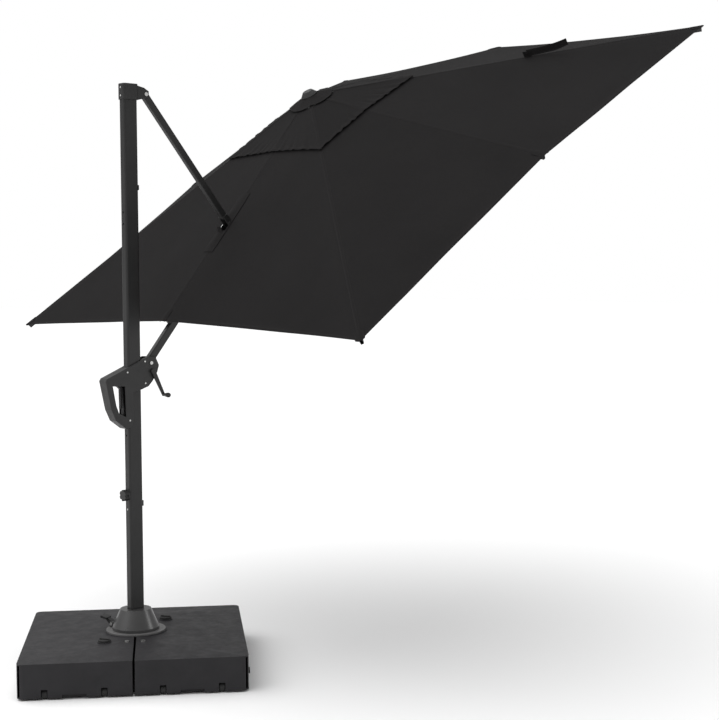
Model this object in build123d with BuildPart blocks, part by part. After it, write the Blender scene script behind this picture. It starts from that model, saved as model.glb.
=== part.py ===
from build123d import *
from math import atan2, cos, degrees, radians, sin, sqrt, tan
import os

os.makedirs("parts", exist_ok=True)

# Cantilever parasol. X is the way the boom reaches, Z is up, and the origin is on the
# floor under the centre of the mast. The ballast base is turned about Z under the mast.

# ---- overall sizes (mm, degrees) ----
canopy_side = 2700
mast_pivot_height = 2630
link_length = 787
strut_angle = 38.9
rib_slope = 18.0
corner_rib_slope = 14.6
boom_reach = 1604
base_width = 990
base_depth = 990
base_turn = -34

# ---- clearances ----
slide_gap = 0.4
side_gap = 0.35
running_gap = 0.05
open_gap = 0.35
fabric_gap = 0.5

# ---- ballast base ----
floor_gap = 8
tank_edge_height = 157
tank_ridge_height = 172
ridge_half_length = 170
tank_wall = 5
tank_corner_radius = 30
seam_gap = 10
cross_bar_width = 60
cross_bar_thickness = 8
hub_plate_radius = 130
pedestal_radius = 70
pedestal_wall = 4
pedestal_hole_gap = 4
flange_radius = 136
flange_thickness = 6
spigot_radius = 40
spigot_wall = 5
spigot_height = 54
cap_radius = 28
cap_place = (135, 200)
cap_height = 14
filler_wall = 4
cap_seat_margin = 4
tie_bolt_place = (36, 215)
tie_bolt_radius = 5
tie_bolt_head_radius = 10
tie_bolt_head_height = 7
tie_bolt_sink = 2
plug_radius = 14
plug_height = 70
plug_reach = 8
plug_place = 400
roller_radius = 20
roller_width = 24
roller_axle_radius = 4
roller_inner_place = 125
roller_outer_place = 378
roller_side_gap = 1.5
roller_lift = 1
roller_from_edge = 25
grip_width = 102
grip_height = 14
grip_depth = 26

# ---- swivel and mast ----
bell_bottom_radius = 107
bell_top_radius = 71
bell_height = 94
bell_wall = 5
bush_wall = 6
bush_height = 44
mast_depth = 70
mast_width = 44
mast_wall = 2
mast_corner = 9
mast_socket_depth = 34
mast_joint_height = 747
coupler_half_length = 110
coupler_wall = 2
latch_hole_radius = 4.5
latch_hole_heights = (1076, 1384, 2040, 2092)
pivot_offset = 84
bracket_height = 72
bracket_wall = 5
bracket_rise = 42
strut_pin_radius = 6
pin_head = 4
stop_height = 2206
stop_size = (10, 20, 24)
knob_height = 802
knob_radius = 26
knob_thickness = 26
knob_stem_radius = 5
pedal_angle = 120
pedal_arm_length = 57
pedal_pad_length = 32
pedal_pad_width = 42
pedal_pad_rise = 20
pedal_width = 26
pedal_lug = 6
pedal_pivot_radius = 4
lock_pin_radius = 6
lock_pin_place = 88
lock_pin_length = 42

# ---- strut and boom ----
strut_depth = 32
strut_width = 26
tube_wall = 1.8
boom_depth = 36
boom_width = 28
fork_cheek = 5
fork_length = 92
clamp_wall = 2.5
clamp_length = 76
boom_pin_radius = 5
canopy_pad = (26, 26)

# ---- slider ----
slider_half_width = 30
slider_wall = 4
liner_wall = 2.6
liner_height = 96
slider_screw_radius = 4
crank_place = (6, -38)
crank_length = 124
crank_angle = 64
crank_thickness = 8
crank_shaft_radius = 5
spool_radius = 13
grip_radius = 11
grip_length = 44
trigger_place = (-164, -92)
trigger_half_width = 8
trigger_pin_radius = 3

# ---- folding canopy ----
fabric_thickness = 1.6
vent_share = 0.269
vent_lift = 12
main_inner_share = 0.12
ring_radius = 45
pivot_pin_radius = 2.5
tongue = 8
cheek = 4
lug_radius = 9
rib_depth = 24
rib_width = 14
rib_wall = 1.2
rib_setback = 12
stretcher_span = 350
stretcher_depth = 14
mid_root_drop = 30
mid_joint_drop = 20
corner_root_drop = 10
boom_root_drop = 12
post_radius = 19
post_wall = 2
post_tail = 36
crown_radius = 32
runner_radius = 30
runner_tail = 70
cap_disc_radius = 42
stub_radius = 8
cap_disc_height = 16
slot_half_width = 30

# ---- frames ----
sin_a = sin(radians(strut_angle))
cos_a = cos(radians(strut_angle))
canopy_tilt = 90 - rib_slope - strut_angle
strut_top = (pivot_offset, 0, mast_pivot_height)
slider_pivot_height = mast_pivot_height - 2 * link_length * cos_a
slider_pivot = (pivot_offset, 0, slider_pivot_height)
strut_frame = Plane(strut_top, x_dir=(sin_a, 0, -cos_a), z_dir=(cos_a, 0, sin_a))
boom_frame = Plane(slider_pivot, x_dir=(sin_a, 0, cos_a), z_dir=(-cos_a, 0, sin_a))
tilt_u = (cos(radians(canopy_tilt)), sin(radians(canopy_tilt)))

# The boom runs parallel to the canopy's mast side rib, this far under the fabric.
boom_cover = 50
rib_cover = fabric_gap + rib_depth / 2
apex_rise = boom_cover / cos(radians(rib_slope))
apex = (
    pivot_offset + boom_reach * sin_a - apex_rise * tilt_u[1],
    0,
    slider_pivot_height + boom_reach * cos_a + apex_rise * tilt_u[0],
)
canopy_frame = Plane(apex, x_dir=(tilt_u[0], 0, tilt_u[1]), z_dir=(-tilt_u[1], 0, tilt_u[0]))

# Every rib has the same slope from its pivot to its stretcher joint, so one runner
# serves them all.
link_slope = rib_slope - degrees(atan2(mid_root_drop - mid_joint_drop, stretcher_span))
runner_drop = 2 * stretcher_span * sin(radians(link_slope))
corner_joint_drop = corner_root_drop + stretcher_span * sin(radians(link_slope - corner_rib_slope))
boom_joint_drop = boom_root_drop - (mid_root_drop - mid_joint_drop)


def on(frame, local):
    return Plane(frame.location * local.location)


def level(cover, root_drop, slope):
    return (cover + root_drop) / cos(radians(slope)) + ring_radius * tan(radians(slope))


# The fabric falls away to both sides of a rib, so the rib lies a little lower.
mid_cross_slope = sqrt(2) * tan(radians(corner_rib_slope)) - tan(radians(rib_slope))
mid_cover = rib_cover + mid_cross_slope * rib_width / 2
corner_cross_slope = sqrt(2) * tan(radians(rib_slope)) - tan(radians(corner_rib_slope))
corner_cover = rib_cover + corner_cross_slope * rib_width / 2
mid_level = level(mid_cover, mid_root_drop, rib_slope)
corner_level = level(corner_cover, corner_root_drop, corner_rib_slope)
boom_level = level(boom_cover, boom_root_drop, rib_slope)


def radial_frame(azimuth, height, slope=0.0, radius=ring_radius):
    """A frame on the canopy's axis system, x outward along a rib, y along its pin."""
    c = cos(radians(azimuth))
    s = sin(radians(azimuth))
    cs = cos(radians(slope))
    ss = sin(radians(slope))
    local = Plane((radius * c, radius * s, height), x_dir=(c * cs, s * cs, -ss), z_dir=(c * ss, s * ss, cs))
    return on(canopy_frame, local)


def side(frame, y=0.0):
    """The rib's own x-z plane, drawn with x outward and y up, at a distance along its pin."""
    return on(frame, Plane((0, y, 0), x_dir=(1, 0, 0), z_dir=(0, -1, 0)))


def save(part, name):
    part.label = name
    export_step(part, f"parts/{name}.step")


def save_base(part, name):
    """Base pieces are drawn square to X and Y and then turned under the mast."""
    save(part.rotate(Axis.Z, base_turn), name)


# =====================  BALLAST BASE  =====================
tank_bottom = floor_gap
half_width = base_width / 2
half_depth = base_depth / 2
side_rise = tank_ridge_height - tank_edge_height
wheel_height = roller_radius + roller_lift
pocket_top = wheel_height + roller_radius + 4
pocket_width = roller_width + 2 * roller_side_gap
pocket_depth = roller_from_edge + roller_radius + 5
boss_radius = flange_radius + 6
flange_bottom = tank_ridge_height


def tank_blank(inset):
    """Right half of the base as a hip roofed box, shrunk by a wall on every face."""
    x0 = seam_gap / 2 + inset
    x1 = half_width - inset
    y1 = half_depth - inset
    z0 = tank_bottom + inset
    with BuildPart() as blank:
        with BuildSketch(Plane.XZ.offset(-y1)):
            with BuildLine():
                Polyline(
                    (x0, z0),
                    (x1, z0),
                    (x1, tank_edge_height - inset + side_rise * inset / half_width),
                    (x0, tank_ridge_height - inset - side_rise * x0 / half_width),
                    close=True,
                )
            make_face()
        extrude(amount=2 * y1)
        for end in (-1, 1):
            with BuildSketch(Plane.YZ):
                with BuildLine():
                    Polyline(
                        (end * (half_depth + 20), tank_edge_height - inset),
                        (end * half_depth, tank_edge_height - inset),
                        (end * ridge_half_length, tank_ridge_height - inset),
                        (end * ridge_half_length, tank_ridge_height + 30),
                        (end * (half_depth + 20), tank_ridge_height + 30),
                        close=True,
                    )
                make_face()
            extrude(amount=half_width + 10, mode=Mode.SUBTRACT)
    return blank.part


well_radius = pedestal_radius + pedestal_hole_gap
roller_middle = (roller_inner_place + roller_outer_place) / 2
roller_run = roller_outer_place - roller_inner_place
bolt_places = [(tie_bolt_place[0], -tie_bolt_place[1]), (tie_bolt_place[0], tie_bolt_place[1])]
side_share = 1 - tie_bolt_place[0] / half_width
end_share = (half_depth - tie_bolt_place[1]) / (half_depth - ridge_half_length)
bolt_seat = tank_edge_height + side_rise * min(side_share, end_share) - tie_bolt_sink

with BuildPart() as cavity:
    add(tank_blank(tank_wall))
    Cylinder(well_radius + tank_wall, 3 * tank_ridge_height, mode=Mode.SUBTRACT)
    for end in (-1, 1):
        for place in (roller_inner_place, roller_outer_place):
            with Locations((place, end * (half_depth - pocket_depth / 2), pocket_top / 2)):
                Box(
                    pocket_width + 2 * tank_wall,
                    pocket_depth + 2 * tank_wall,
                    pocket_top + 2 * tank_wall,
                    mode=Mode.SUBTRACT,
                )
        with Locations((roller_middle, end * (half_depth - roller_from_edge), wheel_height)):
            Box(roller_run, 2 * (grip_depth + tank_wall), 4 * roller_axle_radius, mode=Mode.SUBTRACT)
        with Locations((roller_middle, end * half_depth, tank_bottom)):
            Box(roller_run, 4 * (grip_depth + tank_wall), 2 * (grip_height + tank_wall), mode=Mode.SUBTRACT)
    with Locations(bolt_places):
        Cylinder(tie_bolt_head_radius + tank_wall, 3 * tank_ridge_height, mode=Mode.SUBTRACT)

with BuildPart() as tank_right:
    add(tank_blank(0))
    outer_corners = tank_right.edges().filter_by(Axis.Z).group_by(Axis.X)[-1]
    fillet(outer_corners, radius=tank_corner_radius)
    with BuildSketch(Plane.XY.offset(tank_edge_height - 2)):
        Circle(boss_radius)
        with Locations((seam_gap / 2 - boss_radius, 0)):
            Rectangle(2 * boss_radius, 3 * boss_radius, mode=Mode.SUBTRACT)
        with Locations(cap_place):
            Circle(cap_radius + cap_seat_margin)
    extrude(amount=side_rise + 2)
    add(cavity.part, mode=Mode.SUBTRACT)
    Cylinder(well_radius, 3 * tank_ridge_height, mode=Mode.SUBTRACT)
    # The steel cross and its hub plate lie in channels under the tank.
    Cylinder(hub_plate_radius + 4, 2 * (cross_bar_thickness + 1), mode=Mode.SUBTRACT)
    # Roller pockets with a groove that the axle clips into.
    for end in (-1, 1):
        for place in (roller_inner_place, roller_outer_place):
            with Locations((place, end * (half_depth - pocket_depth / 2 + 5), pocket_top / 2)):
                Box(pocket_width, pocket_depth + 10, pocket_top, mode=Mode.SUBTRACT)
        with Locations((roller_middle, end * (half_depth - roller_from_edge), wheel_height / 2)):
            Box(roller_run, 2 * (roller_axle_radius + running_gap), wheel_height, mode=Mode.SUBTRACT)
        axle_place = (roller_middle, end * (half_depth - roller_from_edge), wheel_height)
        with Locations(Location(axle_place, (0, 90, 0))):
            Cylinder(roller_axle_radius + running_gap, roller_run, mode=Mode.SUBTRACT)
        with Locations((roller_middle, end * (half_depth - grip_depth / 2 + 6), tank_bottom + grip_height / 2)):
            Box(grip_width, grip_depth - 12, grip_height, mode=Mode.SUBTRACT)
    # Filler neck, tie bolt and drain holes.
    with Locations((cap_place[0], cap_place[1], tank_ridge_height)):
        Cylinder(cap_radius - filler_wall, 60, mode=Mode.SUBTRACT)
    with Locations(bolt_places):
        Cylinder(tie_bolt_radius, 3 * tank_ridge_height, mode=Mode.SUBTRACT)
    with BuildSketch(Plane.XY.offset(bolt_seat)):
        with Locations(bolt_places):
            Circle(tie_bolt_head_radius + side_gap)
    extrude(amount=2 * tie_bolt_head_height, mode=Mode.SUBTRACT)
    with Locations(Location((half_width, -plug_place, plug_height), (0, 90, 0))):
        Cylinder(plug_radius - 4, 4 * tank_wall, mode=Mode.SUBTRACT)
save_base(tank_right.part, "tank_right")

with BuildPart() as tank_left:
    add(tank_right.part.rotate(Axis.Z, 180))
save_base(tank_left.part, "tank_left")

with BuildPart() as cross_frame:
    with BuildSketch(Plane.XY):
        Circle(hub_plate_radius)
        Rectangle(base_width - 2 * pocket_depth, cross_bar_width)
        Rectangle(cross_bar_width, base_depth - 2 * pocket_depth)
    extrude(amount=cross_bar_thickness)
save_base(cross_frame.part, "cross_frame")

with BuildPart() as pedestal:
    with BuildSketch(Plane.XY.offset(cross_bar_thickness)):
        Circle(pedestal_radius)
        Circle(pedestal_radius - pedestal_wall, mode=Mode.SUBTRACT)
    extrude(amount=flange_bottom - cross_bar_thickness)
    with BuildSketch(Plane.XY.offset(flange_bottom)):
        Circle(flange_radius)
        Circle(spigot_radius - spigot_wall, mode=Mode.SUBTRACT)
    extrude(amount=flange_thickness)
    with BuildSketch(Plane.XY.offset(flange_bottom + flange_thickness)):
        Circle(spigot_radius)
        Circle(spigot_radius - spigot_wall, mode=Mode.SUBTRACT)
    extrude(amount=spigot_height)
save(pedestal.part, "pedestal")

for name, turn in (("fill_cap_right", 0), ("fill_cap_left", 180)):
    with BuildPart() as fill_cap:
        with BuildSketch(Plane.XY.offset(tank_ridge_height)):
            with Locations(cap_place):
                Circle(cap_radius)
        extrude(amount=cap_height - 6)
        fillet(fill_cap.faces().sort_by(Axis.Z)[-1].edges(), radius=2)
        with BuildSketch(Plane.XY.offset(tank_ridge_height)):
            with Locations(cap_place):
                Circle(cap_radius - filler_wall - side_gap)
        extrude(amount=-12)
        with BuildSketch(Plane.XY.offset(tank_ridge_height + cap_height - 6)):
            with Locations(Location((cap_place[0], cap_place[1], 0), (0, 0, -28))):
                SlotOverall(2 * cap_radius - 6, 11)
        extrude(amount=6)
    save_base(fill_cap.part.rotate(Axis.Z, turn), name)

with BuildPart() as tie_bolts:
    for x in (-tie_bolt_place[0], tie_bolt_place[0]):
        for y in (-tie_bolt_place[1], tie_bolt_place[1]):
            with Locations((x, y, bolt_seat + tie_bolt_head_height / 2)):
                Cylinder(tie_bolt_head_radius, tie_bolt_head_height)
            with Locations((x, y, (bolt_seat + tank_bottom) / 2)):
                Cylinder(tie_bolt_radius, bolt_seat - tank_bottom)
save_base(tie_bolts.part, "tie_bolts")

with BuildPart() as drain_plugs:
    for way in (1, -1):
        with Locations(Location((way * (half_width + plug_reach / 2), -way * plug_place, plug_height), (0, 90, 0))):
            Cylinder(plug_radius, plug_reach)
        with Locations(Location((way * (half_width - tank_wall / 2), -way * plug_place, plug_height), (0, 90, 0))):
            Cylinder(plug_radius - 4, tank_wall)
save_base(drain_plugs.part, "drain_plugs")

axle_half = (roller_outer_place - roller_inner_place) / 2
for front, way_y in (("front", -1), ("rear", 1)):
    for hand, way_x in (("left", -1), ("right", 1)):
        middle = way_x * (roller_inner_place + roller_outer_place) / 2
        centre = (middle, way_y * (half_depth - roller_from_edge), wheel_height)
        with BuildPart() as roller:
            with Locations(Location(centre, (0, 90, 0))):
                Cylinder(roller_axle_radius, 2 * axle_half)
            for end in (-1, 1):
                hub = (centre[0] + end * axle_half, centre[1], centre[2])
                with Locations(Location(hub, (0, 90, 0))):
                    Cylinder(roller_radius, roller_width)
            rims = roller.edges().filter_by(GeomType.CIRCLE).filter_by(lambda e: e.radius > roller_radius - 1)
            fillet(rims, radius=2)
        save_base(roller.part, f"roller_{front}_{hand}")

# =====================  SWIVEL AND MAST  =====================
bell_bottom = flange_bottom + flange_thickness + slide_gap
bell_top = bell_bottom + bell_height
bush_bottom = bell_bottom
bush_inner = spigot_radius + running_gap
bush_outer = bush_inner + bush_wall
mast_foot = bell_top - mast_socket_depth
pedal_dir = (cos(radians(pedal_angle)), sin(radians(pedal_angle)))

with BuildPart() as swivel_bell:
    with BuildSketch(Plane.XZ):
        with BuildLine():
            Polyline(
                (bush_outer, bell_bottom),
                (bell_bottom_radius, bell_bottom),
                (bell_bottom_radius, bell_bottom + 12),
                (bell_top_radius, bell_top),
                (0, bell_top),
                (0, mast_foot - 5),
                (bush_outer, mast_foot - 5),
                close=True,
            )
        make_face()
    revolve(axis=Axis.Z)
    with BuildSketch(Plane.XZ):
        with BuildLine():
            Polyline(
                (bush_outer + bell_wall, bell_bottom - 1),
                (bell_bottom_radius - 2 * bell_wall, bell_bottom - 1),
                (bell_bottom_radius - 2 * bell_wall, bell_bottom + 12),
                (bell_top_radius - 2 * bell_wall, bell_top - 3 * bell_wall),
                (bush_outer + bell_wall, bell_top - 3 * bell_wall),
                close=True,
            )
        make_face()
    revolve(axis=Axis.Z, mode=Mode.SUBTRACT)
    # Boss for the lock pin, then the pin's hole and the mast's socket.
    lock_x = lock_pin_place * pedal_dir[0]
    lock_y = lock_pin_place * pedal_dir[1]
    with BuildSketch(Plane.XY.offset(bell_bottom)):
        with Locations((lock_x, lock_y)):
            Circle(lock_pin_radius + 6)
    extrude(amount=22)
    with BuildSketch(Plane.XY.offset(bell_bottom - 1)):
        with Locations((lock_x, lock_y)):
            Circle(lock_pin_radius)
    extrude(amount=bell_height + 2, mode=Mode.SUBTRACT)
    with BuildSketch(Plane.XY.offset(mast_foot)):
        RectangleRounded(mast_depth, mast_width, mast_corner)
    extrude(amount=mast_socket_depth + 1, mode=Mode.SUBTRACT)
    # Two lugs carry the pedal's pivot.
    pedal_pivot_place = bell_bottom_radius + 10
    pedal_height = bell_bottom + 16
    lug_frame = Plane((0, 0, 0), x_dir=(pedal_dir[0], pedal_dir[1], 0), z_dir=(0, 0, 1))
    lug_outer = pedal_width / 2 + side_gap + pedal_lug
    for lug_y in (lug_outer, pedal_lug - lug_outer):
        with BuildSketch(on(lug_frame, Plane((0, lug_y, 0), x_dir=(1, 0, 0), z_dir=(0, -1, 0)))):
            with BuildLine():
                Polyline(
                    (bell_bottom_radius - 12, bell_bottom),
                    (pedal_pivot_place + 9, bell_bottom),
                    (pedal_pivot_place + 9, pedal_height + 9),
                    (bell_bottom_radius - 12, pedal_height + 9),
                    close=True,
                )
            make_face()
        extrude(amount=pedal_lug)
    with BuildSketch(on(lug_frame, Plane((0, lug_outer, 0), x_dir=(1, 0, 0), z_dir=(0, -1, 0)))):
        with Locations((pedal_pivot_place, pedal_height)):
            Circle(pedal_pivot_radius)
    extrude(amount=2 * lug_outer, mode=Mode.SUBTRACT)
save(swivel_bell.part, "swivel_bell")

with BuildPart() as swivel_bush:
    with BuildSketch(Plane.XY.offset(bush_bottom)):
        Circle(bush_outer)
        Circle(bush_inner, mode=Mode.SUBTRACT)
    extrude(amount=bush_height)
save(swivel_bush.part, "swivel_bush")

with BuildPart() as lower_mast:
    with BuildSketch(Plane.XY.offset(mast_foot)):
        RectangleRounded(mast_depth, mast_width, mast_corner)
        RectangleRounded(
            mast_depth - 2 * mast_wall, mast_width - 2 * mast_wall, mast_corner - mast_wall, mode=Mode.SUBTRACT
        )
    extrude(amount=mast_joint_height - mast_foot)
save(lower_mast.part, "lower_mast")

mast_top = mast_pivot_height + bracket_rise - bracket_wall
with BuildPart() as upper_mast:
    with BuildSketch(Plane.XY.offset(mast_joint_height)):
        RectangleRounded(mast_depth, mast_width, mast_corner)
        RectangleRounded(
            mast_depth - 2 * mast_wall, mast_width - 2 * mast_wall, mast_corner - mast_wall, mode=Mode.SUBTRACT
        )
    extrude(amount=mast_top - mast_joint_height)
    for height in latch_hole_heights:
        with Locations(Location((-mast_depth / 2, 0, height), (0, 90, 0))):
            Cylinder(latch_hole_radius, 3 * mast_wall, mode=Mode.SUBTRACT)
    with Locations(Location((-mast_depth / 2, 0, knob_height), (0, 90, 0))):
        Cylinder(knob_stem_radius + 1, 3 * mast_wall, mode=Mode.SUBTRACT)
save(upper_mast.part, "upper_mast")

inner_depth = mast_depth - 2 * mast_wall
inner_width = mast_width - 2 * mast_wall
with BuildPart() as mast_coupler:
    with BuildSketch(Plane.XY.offset(mast_joint_height - coupler_half_length)):
        RectangleRounded(inner_depth, inner_width, mast_corner - mast_wall)
        RectangleRounded(
            inner_depth - 2 * coupler_wall,
            inner_width - 2 * coupler_wall,
            mast_corner - mast_wall - coupler_wall,
            mode=Mode.SUBTRACT,
        )
    extrude(amount=2 * coupler_half_length)
    with Locations(Location((-inner_depth / 2, 0, knob_height), (0, 90, 0))):
        Cylinder(knob_stem_radius + running_gap, 3 * coupler_wall, mode=Mode.SUBTRACT)
save(mast_coupler.part, "mast_coupler")

ear_inner = strut_width / 2 + side_gap
bracket_bottom = mast_pivot_height + bracket_rise - bracket_height
with BuildPart() as top_bracket:
    with BuildSketch(Plane.XY.offset(bracket_bottom)):
        RectangleRounded(mast_depth + 2 * bracket_wall, mast_width + 2 * bracket_wall, mast_corner + bracket_wall)
    extrude(amount=bracket_height)
    top_edges = top_bracket.faces().sort_by(Axis.Z)[-1].edges()
    fillet(top_edges, radius=3)
    with BuildSketch(Plane.XY.offset(bracket_bottom)):
        RectangleRounded(mast_depth, mast_width, mast_corner)
    extrude(amount=mast_top - bracket_bottom, mode=Mode.SUBTRACT)
    for way in (-1, 1):
        with BuildSketch(Plane.XZ.offset(-way * (ear_inner + bracket_wall / 2) - bracket_wall / 2)):
            with BuildLine():
                Polyline(
                    (mast_depth / 2 + 1, bracket_bottom),
                    (mast_depth / 2 + 26, bracket_bottom + 6),
                    (pivot_offset + 15, mast_pivot_height - 16),
                    (pivot_offset + 15, mast_pivot_height + 14),
                    (pivot_offset - 10, mast_pivot_height + bracket_rise - 14),
                    (mast_depth / 2 + 1, mast_pivot_height + bracket_rise - 6),
                    close=True,
                )
            make_face()
        extrude(amount=bracket_wall)
    with Locations(Location(strut_top, (90, 0, 0))):
        Cylinder(strut_pin_radius, 3 * mast_width, mode=Mode.SUBTRACT)
save(top_bracket.part, "top_bracket")


def headed_pin(place, radius, half_length, head_radius):
    with BuildPart(mode=Mode.PRIVATE) as pin:
        with Locations(Location(place, (90, 0, 0))):
            Cylinder(radius, 2 * half_length)
        for way in (-1, 1):
            with Locations(Location((place[0], way * (half_length + pin_head / 2), place[2]), (90, 0, 0))):
                Cylinder(head_radius, pin_head)
    return pin.part


with BuildPart() as strut_pin:
    add(headed_pin(strut_top, strut_pin_radius, ear_inner + bracket_wall, strut_pin_radius + 3))
save(strut_pin.part, "strut_pin")

with BuildPart() as slider_stop:
    with Locations((mast_depth / 2 + stop_size[0] / 2, 0, stop_height)):
        Box(*stop_size)
    fillet(slider_stop.edges().filter_by(Axis.Y).group_by(Axis.X)[-1], radius=4)
save(slider_stop.part, "slider_stop")

with BuildPart() as mast_knob:
    with Locations(Location((-mast_depth / 2 - slide_gap - knob_thickness / 2, 0, knob_height), (0, 90, 0))):
        Cylinder(knob_radius, knob_thickness)
    knob_plane = Plane((-mast_depth / 2 - slide_gap, 0, knob_height), x_dir=(0, 1, 0), z_dir=(-1, 0, 0))
    with BuildSketch(knob_plane.offset(8)):
        with PolarLocations(knob_radius + 2, 6):
            Circle(7)
    extrude(amount=knob_thickness, mode=Mode.SUBTRACT)
    with Locations(Location((-mast_depth / 2 + mast_wall + coupler_wall, 0, knob_height), (0, 90, 0))):
        Cylinder(knob_stem_radius, 2 * (mast_wall + coupler_wall + slide_gap))
save(mast_knob.part, "mast_knob")

pedal_face = on(lug_frame, Plane.XZ)
pad_start = pedal_pivot_place + pedal_arm_length - pedal_pad_length
pad_end = pedal_pivot_place + pedal_arm_length
pad_level = pedal_height + pedal_pad_rise
with BuildPart() as foot_pedal:
    with BuildSketch(pedal_face.offset(-pedal_width / 2)):
        with BuildLine():
            Polyline(
                (pedal_pivot_place - 8, pedal_height - 7),
                (pedal_pivot_place + 12, pedal_height - 6),
                (pad_start + 8, pad_level - 1),
                (pad_start + 2, pad_level + 6),
                (pedal_pivot_place - 4, pedal_height + 7),
                close=True,
            )
        make_face()
    extrude(amount=pedal_width)
    with BuildSketch(pedal_face.offset(-pedal_pad_width / 2)):
        with BuildLine():
            Polyline(
                (pad_start, pad_level - 2),
                (pad_end, pad_level + 6),
                (pad_end - 2, pad_level + 16),
                (pad_start - 3, pad_level + 7),
                close=True,
            )
        make_face()
    extrude(amount=pedal_pad_width)
    with BuildSketch(pedal_face.offset(-lug_outer)):
        with Locations((pedal_pivot_place, pedal_height)):
            Circle(pedal_pivot_radius + running_gap)
    extrude(amount=2 * lug_outer, mode=Mode.SUBTRACT)
save(foot_pedal.part, "foot_pedal")

with BuildPart() as pedal_pin:
    for end, radius, length in (
        (lug_outer, pedal_pivot_radius, 2 * lug_outer),
        (lug_outer + pin_head, pedal_pivot_radius + 3, pin_head),
        (-lug_outer, pedal_pivot_radius + 3, pin_head),
    ):
        with BuildSketch(on(lug_frame, Plane((0, end, 0), x_dir=(1, 0, 0), z_dir=(0, -1, 0)))):
            with Locations((pedal_pivot_place, pedal_height)):
                Circle(radius)
        extrude(amount=length)
save(pedal_pin.part, "pedal_pin")

with BuildPart() as lock_pin:
    with BuildSketch(Plane.XY.offset(bell_bottom)):
        with Locations((lock_x, lock_y)):
            Circle(lock_pin_radius)
    extrude(amount=lock_pin_length)
save(lock_pin.part, "lock_pin")

# =====================  STRUT AND BOOM  =====================
joint_x = link_length


def link_side(frame, y=0.0):
    """The x-z plane of a link, drawn with x along it and its own z up."""
    return on(frame, Plane((0, y, 0), x_dir=(1, 0, 0), z_dir=(0, -1, 0)))


def rect_tube(frame, x0, x1, z, width, depth, wall, corner):
    with BuildPart() as tube:
        with BuildSketch(on(frame, Plane((x0, 0, z), x_dir=(0, 1, 0), z_dir=(1, 0, 0)))):
            RectangleRounded(width, depth, corner)
            RectangleRounded(width - 2 * wall, depth - 2 * wall, max(corner - wall, 0.4), mode=Mode.SUBTRACT)
        extrude(amount=x1 - x0)
    return tube.part


def cross_pin(frame, x, z, radius, half_length):
    with BuildPart() as pin:
        with BuildSketch(link_side(frame, half_length)):
            with Locations((x, z)):
                Circle(radius)
        extrude(amount=2 * half_length)
    return pin.part


fork_start = joint_x - fork_length
with BuildPart() as strut:
    add(rect_tube(strut_frame, -16, fork_start, 0, strut_width, strut_depth, tube_wall, 4))
    add(cross_pin(strut_frame, 0, 0, strut_pin_radius + running_gap + tube_wall, strut_width / 2))
    add(cross_pin(strut_frame, 0, 0, strut_pin_radius + running_gap, strut_width), mode=Mode.SUBTRACT)
save(strut.part, "strut")

fork_inner = boom_width / 2 + clamp_wall + side_gap
fork_outer = fork_inner + fork_cheek
with BuildPart() as strut_fork:
    add(rect_tube(strut_frame, fork_start - 50, fork_start, 0, strut_width - 2 * tube_wall, strut_depth - 2 * tube_wall, 3, 2.5))
    with BuildSketch(on(strut_frame, Plane((fork_start, 0, 0), x_dir=(0, 1, 0), z_dir=(1, 0, 0)))):
        RectangleRounded(2 * fork_outer, strut_depth - 4, 3)
    extrude(amount=12)
    for way in (-1, 1):
        y0 = fork_outer if way > 0 else -fork_inner
        with BuildSketch(link_side(strut_frame, y0)):
            with Locations(((fork_start + joint_x) / 2 + 4, 0)):
                Rectangle(joint_x - fork_start - 8, strut_depth - 4)
            with Locations((joint_x, 0)):
                Circle(strut_depth / 2 - 2)
        extrude(amount=fork_cheek)
    add(cross_pin(strut_frame, joint_x, 0, boom_pin_radius + running_gap, 2 * fork_outer), mode=Mode.SUBTRACT)
save(strut_fork.part, "strut_fork")

# Boom: from the slider pivot up to the hub, where it takes the place of a rib.
q_local = radial_frame(180, -boom_level).origin
hub_x = (q_local.X - slider_pivot[0]) * sin_a + (q_local.Z - slider_pivot[2]) * cos_a
hub_z = -(q_local.X - slider_pivot[0]) * cos_a + (q_local.Z - slider_pivot[2]) * sin_a
boom_start = 26
boom_end = hub_x - 22
link_delta = link_slope - rib_slope
boom_stretch_x = hub_x - stretcher_span * cos(radians(link_delta))
boom_stretch_z = hub_z + stretcher_span * sin(radians(-link_delta))
pad_x = boom_reach - (canopy_side / 2 - 40) / cos(radians(rib_slope))
pad_rise = boom_cover - boom_depth / 2 - fabric_gap - mid_cross_slope * canopy_pad[1] / 2

with BuildPart() as boom:
    add(rect_tube(boom_frame, boom_start, boom_end, 0, boom_width, boom_depth, 2, 5))
    with BuildSketch(on(boom_frame, Plane((pad_x, 0, boom_depth / 2 - 1), x_dir=(1, 0, 0), z_dir=(0, 0, 1)))):
        RectangleRounded(canopy_pad[0], canopy_pad[1], 5)
    extrude(amount=pad_rise + 1)
    add(cross_pin(boom_frame, joint_x, 0, boom_pin_radius, boom_width), mode=Mode.SUBTRACT)
    stretch_hole = pivot_pin_radius + running_gap
    add(cross_pin(boom_frame, boom_stretch_x, boom_stretch_z, stretch_hole, boom_width), mode=Mode.SUBTRACT)
save(boom.part, "boom")

with BuildPart() as boom_clamp:
    with BuildSketch(on(boom_frame, Plane((joint_x - clamp_length / 2, 0, 0), x_dir=(0, 1, 0), z_dir=(1, 0, 0)))):
        RectangleRounded(boom_width + 2 * clamp_wall, boom_depth + 2 * clamp_wall, 5 + clamp_wall)
        RectangleRounded(boom_width, boom_depth, 5, mode=Mode.SUBTRACT)
    extrude(amount=clamp_length)
    add(cross_pin(boom_frame, joint_x, 0, boom_pin_radius, 2 * boom_width), mode=Mode.SUBTRACT)
save(boom_clamp.part, "boom_clamp")

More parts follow.
